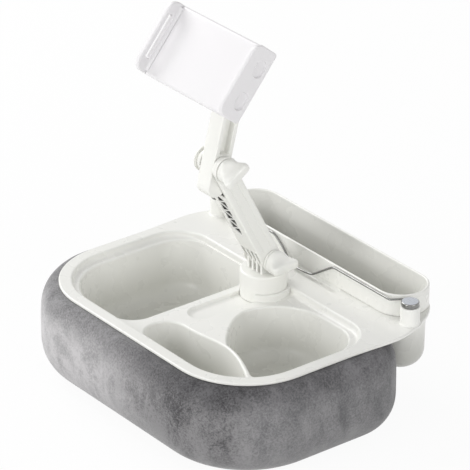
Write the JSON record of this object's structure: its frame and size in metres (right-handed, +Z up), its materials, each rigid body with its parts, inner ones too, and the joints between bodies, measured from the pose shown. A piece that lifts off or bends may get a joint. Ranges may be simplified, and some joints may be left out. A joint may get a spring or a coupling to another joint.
{
  "type": "tablet cushion stand",
  "caption": "Lap cushion under a moulded snack tray with deep wells, a long rear bin with a wire bail, and a jointed swivel arm that carries a sprung tablet clamp.",
  "frame": {"origin": "middle of the whole object's footprint, on the surface that the cushion stands on", "axes": "+Z up, -Y towards the person who uses it, +X to that person's right"},
  "size_m": [0.35, 0.28, 0.3741],
  "materials": {
    "velvet": "brushed grey velvet with a mottled nap",
    "foam": "light open-cell foam",
    "tray_white": "smooth warm white moulded plastic",
    "arm_white": "satin warm white moulded plastic",
    "clamp_white": "satin cool white moulded plastic",
    "chrome": "bright plated",
    "steel": "plain zinc plated"
  },
  "bodies": {
    "cushion": {"cushion_cover": "velvet", "cushion_core": "foam"},
    "tray": {"tray": "tray_white", "rear_bin": "tray_white", "post_cap_left": "chrome", "post_cap_right": "chrome"},
    "bail": {"wire_bail": "chrome"},
    "swivel": {"swivel_base": "arm_white", "swivel_retainer": "arm_white", "swivel_screw": "steel"},
    "lower_link": {"lower_arm": "arm_white", "base_washer": "arm_white", "base_bolt": "steel", "base_nut_cap": "arm_white", "elbow_washer": "arm_white", "elbow_bolt": "steel", "elbow_nut_cap": "arm_white"},
    "base_knob": {"base_wing_knob": "arm_white"},
    "elbow_knob": {"elbow_wing_knob": "arm_white"},
    "upper_link": {"upper_arm": "arm_white", "ball_lock_ring": "arm_white"},
    "ball": {"ball_stud": "steel", "stud_nut": "steel"},
    "clamp": {"clamp_body": "clamp_white", "clamp_rear_cover": "clamp_white", "cover_screw_upper": "steel", "cover_screw_lower": "steel", "guide_rod_upper": "steel", "guide_rod_lower": "steel", "clamp_spring_upper": "steel", "clamp_spring_lower": "steel"},
    "jaw": {"sliding_jaw": "clamp_white"}
  },
  "joints": [
    {"name": "tray_lift", "type": "slide", "parent": "cushion", "child": "tray", "axis": [0, 0, 1], "range_m": [0, 0.1]},
    {"name": "bail_raise", "type": "hinge", "parent": "tray", "child": "bail", "pos_m": [0, 0.0955, 0.1143], "axis": [-1, 0, 0], "range_deg": [0, 110]},
    {"name": "swivel_turn", "type": "hinge", "parent": "tray", "child": "swivel", "pos_m": [0, 0.0375, 0.1], "axis": [0, 0, 1], "continuous": true},
    {"name": "lower_tilt", "type": "hinge", "parent": "swivel", "child": "lower_link", "pos_m": [0, 0.0375, 0.124], "axis": [1, 0, 0], "range_deg": [-50, 34]},
    {"name": "base_knob_turn", "type": "hinge", "parent": "lower_link", "child": "base_knob", "pos_m": [0, 0.0375, 0.124], "axis": [1, 0, 0], "continuous": true},
    {"name": "elbow_knob_turn", "type": "hinge", "parent": "lower_link", "child": "elbow_knob", "pos_m": [0, -0.01902, 0.23493], "axis": [1, 0, 0], "continuous": true},
    {"name": "upper_tilt", "type": "hinge", "parent": "lower_link", "child": "upper_link", "pos_m": [0, -0.01902, 0.23493], "axis": [1, 0, 0], "range_deg": [-40, 40]},
    {"name": "ball_tilt", "type": "hinge", "parent": "upper_link", "child": "ball", "pos_m": [0, 0.00123, 0.31439], "axis": [1, 0, 0], "range_deg": [-30, 30]},
    {"name": "clamp_roll", "type": "hinge", "parent": "ball", "child": "clamp", "pos_m": [0, 0.00123, 0.31439], "axis": [0, -0.7716, 0.6361], "range_deg": [-90, 90]},
    {"name": "jaw_slide", "type": "slide", "parent": "clamp", "child": "jaw", "axis": [-1, 0, 0], "range_m": [0, 0.05], "stiffness_N_per_m": 200, "springref_m": -0.01, "deforming": ["clamp_spring_upper", "clamp_spring_lower"]}
  ]
}
